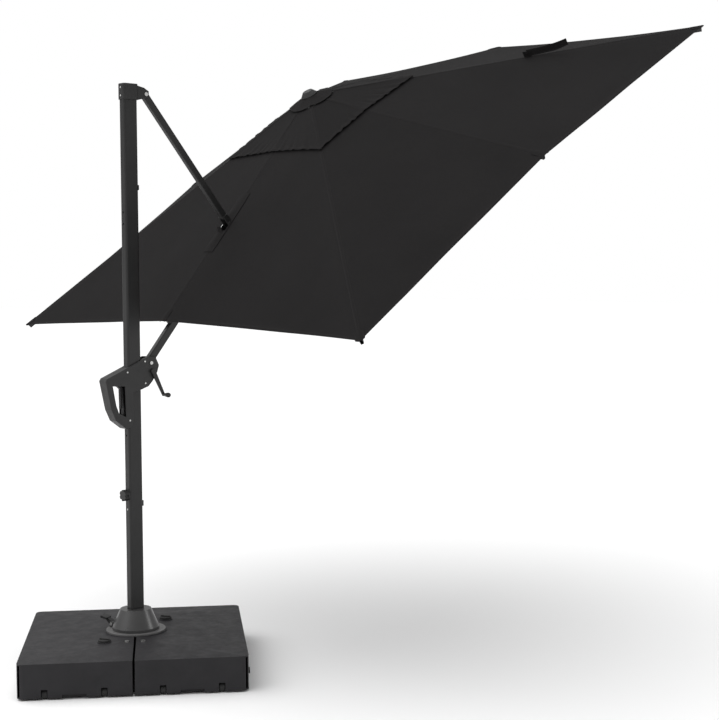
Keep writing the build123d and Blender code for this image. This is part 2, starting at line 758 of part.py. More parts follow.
with BuildPart() as clamp_pin:
    add(cross_pin(boom_frame, joint_x, 0, boom_pin_radius, fork_outer + side_gap))
    for way in (-1, 1):
        y0 = way * (fork_outer + side_gap + pin_head / 2) + pin_head / 2
        with BuildSketch(link_side(boom_frame, y0)):
            with Locations((joint_x, 0)):
                Circle(boom_pin_radius + 4)
        extrude(amount=pin_head)
save(clamp_pin.part, "clamp_pin")

plug_width = boom_width - 4
plug_depth = boom_depth - 4
with BuildPart() as boom_foot:
    with BuildSketch(link_side(boom_frame, plug_width / 2)):
        Circle(boom_depth / 2)
        with Locations(((boom_start - 2) / 2, 0)):
            Rectangle(boom_start - 2, boom_depth)
    extrude(amount=plug_width)
    add(rect_tube(boom_frame, boom_start - 6, boom_start + 50, 0, plug_width, plug_depth, 6, 3))
    add(cross_pin(boom_frame, 0, 0, strut_pin_radius + running_gap, boom_width), mode=Mode.SUBTRACT)
save(boom_foot.part, "boom_foot")

with BuildPart() as boom_knuckle:
    with BuildSketch(link_side(boom_frame, tongue / 2)):
        with Locations((hub_x, hub_z)):
            Circle(lug_radius - 0.5)
        with BuildLine():
            Polyline(
                (boom_end - 40, -plug_depth / 2),
                (boom_end + 2, -plug_depth / 2),
                (hub_x - 2, hub_z - lug_radius + 0.7),
                (hub_x + 4, hub_z + lug_radius - 2),
                (boom_end + 2, plug_depth / 2),
                (boom_end - 40, plug_depth / 2),
                close=True,
            )
        make_face()
    extrude(amount=tongue)
    with BuildSketch(on(boom_frame, Plane((boom_end - 44, 0, 0), x_dir=(0, 1, 0), z_dir=(1, 0, 0)))):
        RectangleRounded(plug_width, plug_depth, 3)
    extrude(amount=44)
    add(cross_pin(boom_frame, hub_x, hub_z, pivot_pin_radius + running_gap, boom_width), mode=Mode.SUBTRACT)
save(boom_knuckle.part, "boom_knuckle")

# =====================  SLIDER  =====================
hx = pivot_offset
hz = slider_pivot_height
outline = [
    (hx - 242, hz - 74),
    (hx - 234, hz - 62),
    (hx - 123, hz - 16),
    (hx - 56, hz + 14),
    (hx - 12, hz + 30),
    (hx + 26, hz + 26),
    (hx + 44, hz - 12),
    (hx + 34, hz - 44),
    (hx + 8, hz - 84),
    (hx - 14, hz - 107),
    (hx - 52, hz - 120),
    (hx - 98, hz - 130),
    (hx - 98, hz - 264),
    (hx - 110, hz - 288),
    (hx - 136, hz - 296),
    (hx - 190, hz - 256),
    (hx - 214, hz - 204),
]
opening = [
    (hx - 205, hz - 98),
    (hx - 142, hz - 102),
    (hx - 138, hz - 240),
    (hx - 174, hz - 222),
    (hx - 188, hz - 186),
]
liner_depth = mast_depth + 2 * slide_gap + 2 * liner_wall
liner_width = mast_width + 2 * slide_gap + 2 * liner_wall
screw_places = [(hx - 128, hz - 38), (hx - 34, hz + 8), (hx - 32, hz - 92), (hx - 118, hz - 258)]
shell_gap = 0.1
crank_x = hx + crank_place[0]
crank_z = hz + crank_place[1]
boom_slot = [
    (hx - 42, hz - 21),
    (hx - 42, hz + 60),
    (hx + 80, hz + 60),
    (hx + 80, hz - 21),
]
trigger_x = hx + trigger_place[0]
trigger_z = hz + trigger_place[1]


with BuildPart() as shell:
    with BuildSketch(Plane.XZ.offset(shell_gap)):
        with BuildLine():
            Polyline(*outline, close=True)
        make_face()
        with BuildLine():
            Polyline(*opening, close=True)
        make_face(mode=Mode.SUBTRACT)
    extrude(amount=slider_half_width - shell_gap)
    outer_rim = shell.faces().sort_by(Axis.Y)[0].edges()
    fillet(outer_rim, radius=3)
    with BuildSketch(Plane.XZ.offset(-1)):
        with BuildLine():
            Polyline(*outline, close=True)
        make_face()
        offset(amount=-slider_wall, kind=Kind.INTERSECTION, mode=Mode.REPLACE)
        with BuildLine() as rim:
            Polyline(*opening, close=True)
            offset(amount=slider_wall, kind=Kind.INTERSECTION, mode=Mode.REPLACE)
        make_face(mode=Mode.SUBTRACT)
    extrude(amount=slider_half_width - slider_wall + 1, mode=Mode.SUBTRACT)
    with Locations((0, 0, hz - 100)):
        Box(liner_depth, liner_width, 600, mode=Mode.SUBTRACT)
    with BuildSketch(Plane.XZ.offset(-1)):
        with BuildLine():
            Polyline(*boom_slot, close=True)
        make_face()
    extrude(amount=boom_width / 2 + 1.5 + 1, mode=Mode.SUBTRACT)
    with Locations((trigger_x + 4, 0, trigger_z - 6)):
        Box(44, 2 * (trigger_half_width + 1), 20, mode=Mode.SUBTRACT)
    with BuildSketch(Plane.XZ.offset(-1)):
        with Locations((hx, hz)):
            Circle(strut_pin_radius)
        with Locations((crank_x, crank_z)):
            Circle(crank_shaft_radius + running_gap)
        with Locations((trigger_x, trigger_z)):
            Circle(trigger_pin_radius + running_gap)
    extrude(amount=slider_half_width + 5, mode=Mode.SUBTRACT)
    with BuildSketch(Plane.XZ.offset(-1)):
        with Locations(*screw_places):
            Circle(slider_screw_radius / 2)
    extrude(amount=slider_half_width + 5, mode=Mode.SUBTRACT)
save(shell.part, "slider_shell_right")

with BuildPart() as other_shell:
    add(mirror(shell.part, about=Plane.XZ, mode=Mode.PRIVATE))
save(other_shell.part, "slider_shell_left")

with BuildPart() as slider_liner:
    with BuildSketch(Plane.XY.offset(hz - 120)):
        Rectangle(liner_depth, liner_width)
        Rectangle(liner_depth - 2 * liner_wall, liner_width - 2 * liner_wall, mode=Mode.SUBTRACT)
    extrude(amount=liner_height)
save(slider_liner.part, "slider_liner")

with BuildPart() as slider_screws:
    with BuildSketch(Plane.XZ.offset(slider_half_width)):
        with Locations(*screw_places):
            Circle(slider_screw_radius)
    extrude(amount=1.6)
    with BuildSketch(Plane.XZ.offset(slider_half_width - slider_wall)):
        with Locations(*screw_places):
            Circle(slider_screw_radius / 2)
    extrude(amount=slider_wall)
save(slider_screws.part, "slider_screws")

with BuildPart() as slider_pin:
    add(headed_pin(slider_pivot, strut_pin_radius, slider_half_width, strut_pin_radius + 2))
save(slider_pin.part, "slider_pin")

with BuildPart() as latch_trigger:
    with BuildSketch(Plane.XZ.offset(-trigger_half_width)):
        with BuildLine():
            Polyline(
                (trigger_x + 12, trigger_z + 9),
                (trigger_x + 12, trigger_z - 8),
                (trigger_x + 19, trigger_z - 20),
                (trigger_x + 19, trigger_z - 108),
                (trigger_x + 12, trigger_z - 112),
                (trigger_x + 10, trigger_z - 22),
                (trigger_x - 9, trigger_z - 6),
                (trigger_x - 9, trigger_z + 9),
                close=True,
            )
        make_face()
    extrude(amount=2 * trigger_half_width)
    with BuildSketch(Plane.XZ.offset(1 - slider_half_width)):
        with Locations((trigger_x, trigger_z)):
            Circle(trigger_pin_radius)
    extrude(amount=2 * slider_half_width - 2)
save(latch_trigger.part, "latch_trigger")

arm_x = crank_x + crank_length * cos(radians(crank_angle))
arm_z = crank_z - crank_length * sin(radians(crank_angle))
arm_start = slider_half_width + 4
arm_end = arm_start + crank_thickness
grip_pin_radius = 3.5
with BuildPart() as crank_arm:
    with BuildSketch(Plane.XZ.offset(arm_start)):
        with BuildLine():
            across = (sin(radians(crank_angle)), cos(radians(crank_angle)))
            Polyline(
                (crank_x - 11 * across[0], crank_z - 11 * across[1]),
                (crank_x + 11 * across[0], crank_z + 11 * across[1]),
                (arm_x + 7 * across[0], arm_z + 7 * across[1]),
                (arm_x - 7 * across[0], arm_z - 7 * across[1]),
                close=True,
            )
        make_face()
        with Locations((crank_x, crank_z)):
            Circle(12)
        with Locations((arm_x, arm_z)):
            Circle(7.5)
    extrude(amount=crank_thickness)
    fillet(crank_arm.faces().sort_by(Axis.Y)[0].edges(), radius=2)
    with BuildSketch(Plane.XZ.offset(1 - slider_half_width)):
        with Locations((crank_x, crank_z)):
            Circle(crank_shaft_radius)
    extrude(amount=slider_half_width + arm_start)
    with BuildSketch(Plane.XZ.offset(arm_end - 2)):
        with Locations((arm_x, arm_z)):
            Circle(grip_pin_radius)
    extrude(amount=grip_length - 4)
save(crank_arm.part, "crank_arm")

grip_start = arm_end + slide_gap
with BuildPart() as crank_grip:
    with BuildSketch(Plane.XY):
        with BuildLine():
            Polyline((grip_pin_radius + running_gap, 0), (6.5, 0), (7.5, 8))
            Spline((7.5, 8), (grip_radius, 30), (6, grip_length), tangents=((0.1, 1), (-1, 0.35)))
            Polyline(
                (6, grip_length),
                (0, grip_length),
                (0, grip_length - 4),
                (grip_pin_radius + running_gap, grip_length - 4),
                (grip_pin_radius + running_gap, 0),
            )
        make_face()
    revolve(axis=Axis.Y)
grip_place = Location((arm_x, -grip_start, arm_z), (180, 0, 0))
save(crank_grip.part.moved(grip_place), "crank_grip")

with BuildPart() as winch_spool:
    with BuildSketch(Plane.XZ.offset(-20)):
        with Locations((crank_x, crank_z)):
            Circle(spool_radius)
            Circle(crank_shaft_radius, mode=Mode.SUBTRACT)
    extrude(amount=40)
    with BuildSketch(Plane.XZ.offset(-16)):
        with Locations((crank_x, crank_z)):
            Circle(spool_radius + 1)
            Circle(spool_radius - 4, mode=Mode.SUBTRACT)
    extrude(amount=32, mode=Mode.SUBTRACT)
save(winch_spool.part, "winch_spool")

# =====================  FOLDING CANOPY  =====================
azimuths = {1: 0, 2: 90, 3: 270, 4: 45, 5: 135, 6: 225, 7: 315}
axis_z = canopy_frame.z_dir


def kind(azimuth):
    """Slope, pivot level, root drop and joint drop of the rib at this azimuth."""
    if azimuth == 180:
        return rib_slope, boom_level, boom_root_drop, boom_joint_drop
    if azimuth % 90 == 0:
        return rib_slope, mid_level, mid_root_drop, mid_joint_drop
    return corner_rib_slope, corner_level, corner_root_drop, corner_joint_drop


def hub_ring(drop, boom_half_width):
    """Cheeks and pins of one ring of pivots, this far below the crown's own."""
    with BuildPart() as ring:
        for azimuth in range(0, 360, 45):
            height = -kind(azimuth)[1] - drop
            frame = radial_frame(azimuth, height)
            half = tongue / 2 + side_gap + cheek
            solid_half = boom_half_width if azimuth == 180 else 0
            if solid_half:
                with BuildSketch(side(frame, solid_half)):
                    Circle(lug_radius)
                    with Locations(((5 - ring_radius + runner_radius) / 2 - 5, 0)):
                        Rectangle(ring_radius - runner_radius + 5, 2 * lug_radius)
                extrude(amount=2 * solid_half)
            else:
                for y0 in (half, -half + cheek):
                    with BuildSketch(side(frame, y0)):
                        Circle(lug_radius)
                        with Locations((-(ring_radius - runner_radius + 5) / 2, 0)):
                            Rectangle(ring_radius - runner_radius + 5, 2 * lug_radius)
                    extrude(amount=cheek)
            reach = solid_half + side_gap + cheek + 2 if solid_half else half
            with BuildSketch(side(frame, reach)):
                Circle(pivot_pin_radius)
            extrude(amount=2 * reach)
    return ring.part


crown_top = -12
crown_bottom = -(boom_level + lug_radius)
post_bottom = -(boom_level + 2 * stretcher_span + runner_tail + post_tail)
with BuildPart() as hub_crown:
    with BuildSketch(on(canopy_frame, Plane.XY.offset(crown_bottom))):
        Circle(crown_radius)
    extrude(amount=crown_top - crown_bottom)
    add(hub_ring(0, 0))
    with BuildSketch(on(canopy_frame, Plane.XY.offset(crown_bottom - 1))):
        Circle(post_radius)
    extrude(amount=crown_top - 10 - crown_bottom + 1, mode=Mode.SUBTRACT)
    with BuildSketch(on(canopy_frame, Plane.XY.offset(crown_top))):
        Circle(stub_radius)
    extrude(amount=vent_lift - crown_top + fabric_thickness + 6)
save(hub_crown.part, "hub_crown")

with BuildPart() as hub_post:
    with BuildSketch(on(canopy_frame, Plane.XY.offset(post_bottom))):
        Circle(post_radius)
        Circle(post_radius - post_wall, mode=Mode.SUBTRACT)
    extrude(amount=crown_top - 10 - post_bottom)
save(hub_post.part, "hub_post")

runner_top = -(corner_level - lug_radius) - runner_drop
runner_bottom = -(boom_level + lug_radius) - runner_drop - runner_tail
with BuildPart() as runner:
    with BuildSketch(on(canopy_frame, Plane.XY.offset(runner_bottom))):
        Circle(runner_radius - 5)
    extrude(amount=runner_top - runner_bottom)
    with BuildSketch(on(canopy_frame, Plane.XY.offset(runner_bottom + runner_tail))):
        Circle(runner_radius)
    extrude(amount=runner_top - runner_bottom - runner_tail)
    add(hub_ring(runner_drop, boom_width / 2))
    with BuildSketch(on(canopy_frame, Plane.XY.offset(runner_bottom - 1))):
        Circle(post_radius + slide_gap)
    extrude(amount=runner_top - runner_bottom + 2, mode=Mode.SUBTRACT)
save(runner.part, "runner")

tan_corner = tan(radians(corner_rib_slope))
cap_base = vent_lift + fabric_thickness + side_gap
with BuildPart() as top_cap:
    with BuildSketch(on(canopy_frame, Plane.XZ)):
        with BuildLine():
            Polyline(
                (stub_radius, cap_base - stub_radius * tan_corner),
                (cap_disc_radius, cap_base - cap_disc_radius * tan_corner),
                (cap_disc_radius, cap_base + 1 - cap_disc_radius * tan_corner + 2),
                (cap_disc_radius * 0.6, cap_base + cap_disc_height * 0.75),
                (0, cap_base + cap_disc_height),
                (0, vent_lift + fabric_thickness + 6),
                (stub_radius, vent_lift + fabric_thickness + 6),
                close=True,
            )
        make_face()
    revolve(axis=Axis(canopy_frame.origin, axis_z))
save(top_cap.part, "top_cap")


def rib_reach(azimuth):
    """Length of a rib along its slope, from its pivot to the inside of the fabric's edge."""
    slope, height, root_drop, joint_drop = kind(azimuth)
    full = canopy_side / 2 if azimuth % 90 == 0 else canopy_side / sqrt(2)
    return (full - rib_setback - ring_radius) / cos(radians(slope)) - root_drop * tan(radians(slope))


def make_rib(azimuth):
    slope, height, root_drop, joint_drop = kind(azimuth)
    frame = radial_frame(azimuth, -height, slope)
    length = rib_reach(azimuth)
    joint_run = sqrt(stretcher_span**2 - (root_drop - joint_drop) ** 2)
    joint_z = root_drop - joint_drop
    tube_bottom = root_drop - rib_depth / 2
    half = tongue / 2 + side_gap + cheek
    with BuildPart() as rib:
        add(rect_tube(frame, 22, length, root_drop, rib_width, rib_depth, rib_wall, 2.5))
        with BuildSketch(side(frame, tongue / 2)):
            Circle(lug_radius - 0.5)
            with BuildLine():
                Polyline(
                    (-4, 7),
                    (22, root_drop + rib_depth / 2 - 1.5),
                    (58, root_drop + rib_depth / 2 - 1.5),
                    (58, tube_bottom + 0.5),
                    (22, tube_bottom + 0.5),
                    (7, -4.5),
                    close=True,
                )
            make_face()
        extrude(amount=tongue)
        with BuildSketch(side(frame)):
            Circle(pivot_pin_radius + running_gap)
        extrude(amount=rib_width, both=True, mode=Mode.SUBTRACT)
        for y0 in (half, -half + cheek):
            with BuildSketch(side(frame, y0)):
                with Locations((joint_run, joint_z)):
                    Circle(lug_radius - 1)
                with BuildLine():
                    Polyline(
                        (joint_run - lug_radius + 1, joint_z),
                        (joint_run + lug_radius - 1, joint_z),
                        (joint_run + lug_radius + 6, tube_bottom + 4),
                        (joint_run - lug_radius - 6, tube_bottom + 4),
                        close=True,
                    )
                make_face()
            extrude(amount=cheek)
        with BuildSketch(side(frame, half)):
            with Locations((joint_run, joint_z)):
                Circle(pivot_pin_radius)
        extrude(amount=2 * half)
    return rib.part


def make_stretcher(azimuth):
    slope, height, root_drop, joint_drop = kind(azimuth)
    frame = radial_frame(azimuth, -height - runner_drop, -link_slope)
    with BuildPart() as bar:
        with BuildSketch(side(frame, tongue / 2)):
            with Locations((stretcher_span / 2, 0)):
                SlotCenterToCenter(stretcher_span, stretcher_depth)
            Circle(pivot_pin_radius + open_gap, mode=Mode.SUBTRACT)
            with Locations((stretcher_span, 0)):
                Circle(pivot_pin_radius + running_gap, mode=Mode.SUBTRACT)
        extrude(amount=tongue)
    return bar.part


for number, azimuth in azimuths.items():
    save(make_rib(azimuth), f"rib_{number}")
    save(make_stretcher(azimuth), f"stretcher_{number}")

# The boom's own stretcher is a pair of bars, one each side of the boom.
pair_frame = radial_frame(180, -boom_level - runner_drop, -link_slope)
pair_inner = boom_width / 2 + side_gap
with BuildPart() as stretcher_boom:
    for y0 in (pair_inner + cheek, -pair_inner):
        with BuildSketch(side(pair_frame, y0)):
            with Locations((stretcher_span / 2, 0)):
                SlotCenterToCenter(stretcher_span, stretcher_depth)
            Circle(pivot_pin_radius + open_gap, mode=Mode.SUBTRACT)
        extrude(amount=cheek)
    with BuildSketch(side(pair_frame, pair_inner + cheek)):
        with Locations((stretcher_span / 2, 0)):
            Circle(5)
        with Locations((stretcher_span, 0)):
            Circle(pivot_pin_radius)
    extrude(amount=2 * (pair_inner + cheek))
save(stretcher_boom.part, "stretcher_boom")


def rim_point(azimuth, share, lift):
    slope = kind(azimuth)[0]
    reach = share * (canopy_side / 2 if azimuth % 90 == 0 else canopy_side / sqrt(2))
    local = Vector(
        reach * cos(radians(azimuth)),
        reach * sin(radians(azimuth)),
        lift - reach * tan(radians(slope)),
    )
    return canopy_frame.from_local_coords(local)


def fabric_tier(inner_share, outer_share, lift):
    with BuildPart() as tier:
        for azimuth in range(0, 360, 45):
            after = (azimuth + 45) % 360
            corners = [
                rim_point(azimuth, inner_share, lift),
                rim_point(azimuth, outer_share, lift),
                rim_point(after, outer_share, lift),
                rim_point(after, inner_share, lift),
            ]
            extrude(Face(Wire.make_polygon(corners)), amount=fabric_thickness, dir=axis_z)
    return tier.part


slot_in = boom_reach - link_length - 152
slot_out = boom_reach - link_length + 76
with BuildPart() as canopy:
    add(fabric_tier(main_inner_share, 1.0, 0))
    with BuildSketch(radial_frame(180, 0, rib_slope, 0)):
        with Locations(((slot_in + slot_out) / 2, 0)):
            SlotOverall(slot_out - slot_in, 2 * slot_half_width)
    extrude(amount=20, both=True, mode=Mode.SUBTRACT)
    add(fabric_tier(2 * (stub_radius + 1) / canopy_side, vent_share, vent_lift))
save(canopy.part, "canopy")
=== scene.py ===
import math
import bpy
import bmesh
from mathutils import Matrix, Vector, noise


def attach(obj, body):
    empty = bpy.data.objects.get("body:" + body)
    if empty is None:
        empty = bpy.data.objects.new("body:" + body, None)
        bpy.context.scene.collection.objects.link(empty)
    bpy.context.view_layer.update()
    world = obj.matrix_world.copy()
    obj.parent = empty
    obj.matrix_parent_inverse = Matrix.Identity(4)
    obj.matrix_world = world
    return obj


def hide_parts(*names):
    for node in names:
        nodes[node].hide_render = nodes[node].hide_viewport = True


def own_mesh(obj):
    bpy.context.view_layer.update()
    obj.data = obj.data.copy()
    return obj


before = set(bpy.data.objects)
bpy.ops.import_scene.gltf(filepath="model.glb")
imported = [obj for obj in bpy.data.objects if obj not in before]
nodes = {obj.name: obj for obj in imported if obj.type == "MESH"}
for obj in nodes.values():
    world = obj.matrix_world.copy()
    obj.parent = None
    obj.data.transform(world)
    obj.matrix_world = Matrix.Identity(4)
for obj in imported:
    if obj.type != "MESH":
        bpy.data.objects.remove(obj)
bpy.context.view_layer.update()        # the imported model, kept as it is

print("frame loaded,", len(nodes), "nodes")

# camera and stage
cameraSet = {
    "place": (-3.624, -5.689, 1.821),
    "heading": 48.628,   # degrees from +X
    "dip": 3.487,
    "roll": -0.31,
    "lens": 72.985,
    "sensor": 36.0,
}


def makeCamera(s):
    data = bpy.data.cameras.new("viewCamera")
    data.lens = s["lens"]
    data.sensor_width = s["sensor"]
    data.clip_end = 100
    camera = bpy.data.objects.new("viewCamera", data)
    bpy.context.scene.collection.objects.link(camera)
    turn = Matrix.Rotation(math.radians(s["heading"] - 90), 4, "Z")
    turn @= Matrix.Rotation(math.radians(90 - s["dip"]), 4, "X")
    turn @= Matrix.Rotation(math.radians(s["roll"]), 4, "Z")
    camera.matrix_world = Matrix.Translation(s["place"]) @ turn
    bpy.context.scene.camera = camera


makeCamera(cameraSet)

stageSet = {
    "floorSize": 120.0,
    "floorDepth": -0.0006,
    "floorColour": (0.92, 0.92, 0.92),
    "wallColour": (1.0, 1.0, 1.0),
    "fillStrength": 0.5,      # what the pale room gives back to the parasol
    "overhead": {"from": (-0.6, 0.5, 1.9), "strength": 2.5, "spread": 85.0},
    "lights": {            # place, aimed at, size, watts
        "sideLight": ((5.5, -4.5, 2.6), (0.0, 0.0, 0.8), 2.0, 55),
        "leftLight": ((-5.5, -1.0, 1.8), (0.0, 0.0, 0.5), 1.6, 10),
    },
}


def makeStage(s):
    floorMesh = bpy.data.meshes.new("studioFloor")
    bm = bmesh.new()
    bmesh.ops.create_grid(bm, x_segments=1, y_segments=1, size=s["floorSize"] / 2)
    bmesh.ops.translate(bm, vec=(0, 0, s["floorDepth"]), verts=bm.verts)
    bm.to_mesh(floorMesh)
    bm.free()
    floor = bpy.data.objects.new("studioFloor", floorMesh)
    bpy.context.scene.collection.objects.link(floor)
    paper = bpy.data.materials.new("studioPaper")
    paper.use_nodes = True
    paper.node_tree.nodes["Principled BSDF"].inputs["Base Color"].default_value = (*s["floorColour"], 1)
    paper.node_tree.nodes["Principled BSDF"].inputs["Roughness"].default_value = 0.9
    floorMesh.materials.append(paper)
    world = bpy.data.worlds.new("studioSky")
    bpy.context.scene.world = world
    world.use_nodes = True
    tree = world.node_tree
    wall = tree.nodes["Background"]
    wall.inputs["Color"].default_value = (*s["wallColour"], 1)
    room = tree.nodes.new("ShaderNodeBackground")
    room.inputs["Color"].default_value = (*s["wallColour"], 1)
    room.inputs["Strength"].default_value = s["fillStrength"]
    seen = tree.nodes.new("ShaderNodeLightPath")
    both = tree.nodes.new("ShaderNodeMixShader")
    tree.links.new(seen.outputs["Is Camera Ray"], both.inputs[0])
    tree.links.new(room.outputs[0], both.inputs[1])
    tree.links.new(wall.outputs[0], both.inputs[2])
    tree.links.new(both.outputs[0], tree.nodes["World Output"].inputs["Surface"])
    sunData = bpy.data.lights.new("overheadLight", "SUN")
    sunData.energy = s["overhead"]["strength"]
    sunData.angle = math.radians(s["overhead"]["spread"])
    sun = bpy.data.objects.new("overheadLight", sunData)
    bpy.context.scene.collection.objects.link(sun)
    sun.rotation_euler = Vector(s["overhead"]["from"]).to_track_quat("Z", "Y").to_euler()
    bpy.context.scene.view_settings.view_transform = "Standard"
    for name, (place, aim, size, watts) in s["lights"].items():
        data = bpy.data.lights.new(name, "AREA")
        data.size = size
        data.energy = watts
        light = bpy.data.objects.new(name, data)
        bpy.context.scene.collection.objects.link(light)
        light.location = place
        light.rotation_euler = (Vector(aim) - Vector(place)).to_track_quat("-Z", "Y").to_euler()


makeStage(stageSet)
print("camera, floor and lights made")


# finishes
def addNode(tree, kind, inputs=None, **settings):
    node = tree.nodes.new(kind)
    for key, value in settings.items():
        setattr(node, key, value)
    for key, value in (inputs or {}).items():
        if isinstance(value, bpy.types.NodeSocket):
            tree.links.new(value, node.inputs[key])
        else:
            node.inputs[key].default_value = value
    return node


def addMath(tree, operation, first, second=0.0):
    return addNode(tree, "ShaderNodeMath", {0: first, 1: second}, operation=operation).outputs[0]


def addNoise(tree, place, scale, detail=2.0, rough=0.5):
    return addNode(tree, "ShaderNodeTexNoise", {"Vector": place, "Scale": scale, "Detail": detail, "Roughness": rough})


def addRamp(tree, factor, stops):
    ramp = addNode(tree, "ShaderNodeValToRGB", {"Fac": factor})
    marks = ramp.color_ramp.elements
    marks[0].position, marks[0].color = stops[0][0], (*stops[0][1], 1)
    marks[1].position, marks[1].color = stops[-1][0], (*stops[-1][1], 1)
    for at, colour in stops[1:-1]:
        marks.new(at).color = (*colour, 1)
    return ramp.outputs["Color"]


def grey(value, tint=(1.0, 1.0, 1.0)):
    return tuple(value * t for t in tint)


def startFinish(name, s):
    finish = bpy.data.materials.new(name)
    finish.use_nodes = True
    tree = finish.node_tree
    shader = tree.nodes["Principled BSDF"]
    shader.inputs["Metallic"].default_value = s.get("metal", 0.0)
    shader.inputs["Specular IOR Level"].default_value = s.get("specular", 0.35)
    place = addNode(tree, "ShaderNodeTexCoord").outputs["Object"]
    return finish, tree, shader, place


# One recipe serves every hard surface: clouded colour, fine grain, and a painted edge highlight (edges lightened
# towards a paler grey in noisy patches).
def hardFinish(name, s):
    finish, tree, shader, place = startFinish(name, s)
    clouds = addNoise(tree, place, s["cloudScale"], 4.0, 0.6).outputs["Fac"]
    colour = addRamp(tree, clouds, [(0.3, grey(s["dark"], s["tint"])), (0.7, grey(s["light"], s["tint"]))])
    rounded = addNode(tree, "ShaderNodeBevel", {"Radius": s["edgeRadius"]}, samples=3)
    surface = addNode(tree, "ShaderNodeNewGeometry")
    agree = addNode(
        tree, "ShaderNodeVectorMath", {0: rounded.outputs["Normal"], 1: surface.outputs["Normal"]},
        operation="DOT_PRODUCT",
    ).outputs["Value"]
    # painted highlight: where the Bevel normal leaves the true normal, the edge is mixed towards a paler grey, broken
    # up by noise
    edge = addNode(tree, "ShaderNodeMapRange", {"Value": agree, "From Min": 0.995, "From Max": 0.85})
    edgeHighlightPatches = addNoise(tree, place, s["edgeHighlightPatchScale"], 3.0).outputs["Fac"]
    edgeHighlightShare = addMath(tree, "MULTIPLY", edge.outputs["Result"], addMath(tree, "MULTIPLY", edgeHighlightPatches, s["edgeHighlightShare"]))
    edgeHighlightColour = addNode(
        tree, "ShaderNodeMix", {"Factor": edgeHighlightShare, "A": colour, "B": (*grey(s["edgeHighlightColour"], s["tint"]), 1)},
        data_type="RGBA",
    )
    tree.links.new(edgeHighlightColour.outputs["Result"], shader.inputs["Base Color"])
    scuffs = addNoise(tree, place, s["scuffScale"], 5.0, 0.7).outputs["Fac"]
    rough = addNode(
        tree, "ShaderNodeMapRange",
        {"Value": scuffs, "From Min": 0.3, "From Max": 0.7, "To Min": s["rough"][0], "To Max": s["rough"][1]},
    )
    tree.links.new(rough.outputs["Result"], shader.inputs["Roughness"])
    grain = addNoise(tree, place, s["grainScale"], 3.0, 0.6).outputs["Fac"]
    if s.get("pebble"):
        cells = addNode(tree, "ShaderNodeTexVoronoi", {"Vector": place, "Scale": s["pebble"]})
        grain = addMath(tree, "ADD", grain, addMath(tree, "MULTIPLY", cells.outputs["Distance"], 0.8))
    bump = addNode(
        tree, "ShaderNodeBump",
        {"Strength": s["grain"], "Distance": s["grainDepth"], "Height": grain, "Normal": rounded.outputs["Normal"]},
    )
    tree.links.new(bump.outputs["Normal"], shader.inputs["Normal"])
    return finish


neutral = (1.0, 0.985, 0.99)
# in each finish, the paler edge grey, its share and its patch size set the painted edge highlight
hardFinishes = {
    "tankPlastic": {
        "specular": 0.22, "dark": 0.017, "light": 0.023, "tint": (1.0, 0.96, 1.05), "cloudScale": 7.0, "edgeRadius": 0.004,
        "edgeHighlightColour": 0.055, "edgeHighlightShare": 0.6, "edgeHighlightPatchScale": 30.0, "scuffScale": 16.0, "rough": (0.42, 0.6),
        "grainScale": 420.0, "grain": 0.35, "grainDepth": 0.0006, "pebble": 260.0,
    },
    "mouldedNylon": {
        "specular": 0.3, "dark": 0.018, "light": 0.024, "tint": neutral, "cloudScale": 14.0, "edgeRadius": 0.0015,
        "edgeHighlightColour": 0.07, "edgeHighlightShare": 0.8, "edgeHighlightPatchScale": 60.0, "scuffScale": 40.0, "rough": (0.38, 0.52),
        "grainScale": 900.0, "grain": 0.3, "grainDepth": 0.0003, "pebble": 700.0,
    },
    "bellPlastic": {
        "specular": 0.6, "dark": 0.040, "light": 0.044, "tint": neutral, "cloudScale": 14.0, "edgeRadius": 0.002,
        "edgeHighlightColour": 0.08, "edgeHighlightShare": 0.3, "edgeHighlightPatchScale": 50.0, "scuffScale": 24.0, "rough": (0.27, 0.33),
        "grainScale": 900.0, "grain": 0.2, "grainDepth": 0.0002,
    },
    "mastCoat": {
        "dark": 0.015, "light": 0.019, "tint": neutral, "cloudScale": 5.0, "edgeRadius": 0.0015,
        "edgeHighlightColour": 0.045, "edgeHighlightShare": 0.5, "edgeHighlightPatchScale": 25.0, "scuffScale": 30.0, "rough": (0.34, 0.46),
        "grainScale": 1300.0, "grain": 0.22, "grainDepth": 0.0002, "metal": 0.1,
    },
    "paleSteel": {
        "dark": 0.11, "light": 0.15, "tint": neutral, "cloudScale": 12.0, "edgeRadius": 0.001,
        "edgeHighlightColour": 0.3, "edgeHighlightShare": 0.6, "edgeHighlightPatchScale": 40.0, "scuffScale": 50.0, "rough": (0.35, 0.5),
        "grainScale": 1100.0, "grain": 0.25, "grainDepth": 0.0002, "metal": 0.25,
    },
    "brightZinc": {
        "dark": 0.46, "light": 0.62, "tint": (1.0, 1.0, 0.98), "cloudScale": 90.0, "edgeRadius": 0.0006,
        "edgeHighlightColour": 0.8, "edgeHighlightShare": 0.5, "edgeHighlightPatchScale": 150.0, "scuffScale": 300.0, "rough": (0.22, 0.4),
        "grainScale": 1500.0, "grain": 0.15, "grainDepth": 0.0001, "metal": 1.0,
    },
    "rollerRubber": {
        "dark": 0.016, "light": 0.024, "tint": neutral, "cloudScale": 60.0, "edgeRadius": 0.001,
        "edgeHighlightColour": 0.05, "edgeHighlightShare": 0.7, "edgeHighlightPatchScale": 90.0, "scuffScale": 80.0, "rough": (0.6, 0.8),
        "grainScale": 1200.0, "grain": 0.4, "grainDepth": 0.0003,
    },
    "linerNylon": {
        "dark": 0.10, "light": 0.13, "tint": neutral, "cloudScale": 30.0, "edgeRadius": 0.0008,
        "edgeHighlightColour": 0.2, "edgeHighlightShare": 0.4, "edgeHighlightPatchScale": 80.0, "scuffScale": 60.0, "rough": (0.3, 0.42),
        "grainScale": 1000.0, "grain": 0.15, "grainDepth": 0.0002,
    },
}
finishes = {name: hardFinish(name, s) for name, s in hardFinishes.items()}

